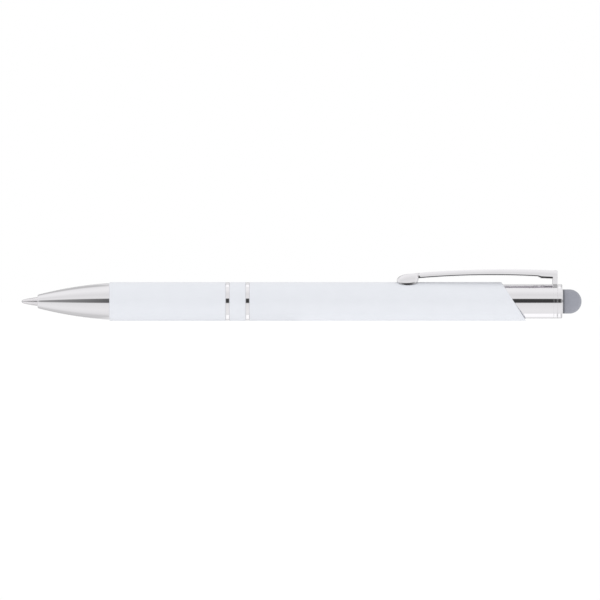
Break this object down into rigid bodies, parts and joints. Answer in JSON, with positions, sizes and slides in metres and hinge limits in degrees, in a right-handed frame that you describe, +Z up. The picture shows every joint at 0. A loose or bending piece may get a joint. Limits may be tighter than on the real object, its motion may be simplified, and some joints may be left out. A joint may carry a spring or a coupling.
{
  "type": "ballpoint pen",
  "caption": "Slim retractable ballpoint pen with a soft-touch white barrel, chrome nose, trim rings, cap and bowed pocket clip, and a rubber stylus dome on its push button.",
  "frame": {"origin": "under the middle of the pen's length, on the surface that the barrel lies on with its clip up", "axes": "+X along the pen from the writing point to the stylus, +Z up through the clip, +Y across the pen"},
  "size_m": [0.14, 0.0096, 0.0129],
  "materials": {
    "soft_white": "satin",
    "chrome": "polished",
    "grey_rubber": "matte",
    "brass": "satin",
    "natural_plastic": "matte",
    "steel": "satin",
    "nickel_silver": "satin",
    "ink": "gloss"
  },
  "bodies": {
    "barrel": {"nose_cone": "chrome", "nose_bush": "brass", "lower_barrel": "soft_white", "joint_bush": "brass", "barrel_joint": "brass", "front_ring": "chrome", "middle_band": "soft_white", "rear_ring": "chrome", "upper_barrel": "soft_white", "cap_tube": "chrome", "clip_mount": "chrome", "end_bush": "chrome", "cam_sleeve": "natural_plastic", "return_spring": "steel"},
    "clip": {"clip_arm": "chrome"},
    "button": {"push_button": "chrome", "stylus_dome": "grey_rubber", "stylus_core": "natural_plastic", "push_cam": "natural_plastic"},
    "refill": {"refill_point": "nickel_silver", "refill_collar": "brass", "refill_tube": "steel", "refill_plug": "natural_plastic", "ink": "ink"},
    "rotor": {"index_rotor": "natural_plastic"},
    "ball": {"writing_ball": "steel"}
  },
  "joints": [
    {"name": "button_slide", "type": "slide", "parent": "barrel", "child": "button", "axis": [-1, 0, 0], "range_m": [-0.0055, 0.0012]},
    {"name": "refill_slide", "type": "slide", "parent": "barrel", "child": "refill", "axis": [-1, 0, 0], "range_m": [-0.0056, 0.0013], "deforming": ["return_spring"]},
    {"name": "rotor_turn", "type": "hinge", "parent": "refill", "child": "rotor", "pos_m": [0.038, 0, 0.00485], "axis": [1, 0, 0], "range_deg": [-13.5, 60.5]},
    {"name": "ball_roll", "type": "hinge", "parent": "refill", "child": "ball", "pos_m": [-0.06965, 0, 0.00485], "axis": [0, 1, 0], "continuous": true},
    {"name": "clip_flex", "type": "hinge", "parent": "barrel", "child": "clip", "pos_m": [0.059, 0, 0.0128], "axis": [0, 1, 0], "range_deg": [0, 3], "stiffness_Nm_per_rad": 2.4}
  ],
  "couplings": [
    {"joint": "refill_slide", "follows": "button_slide", "ratio": 1},
    {"joint": "rotor_turn", "follows": "button_slide", "rad_per_m": -190.4}
  ]
}
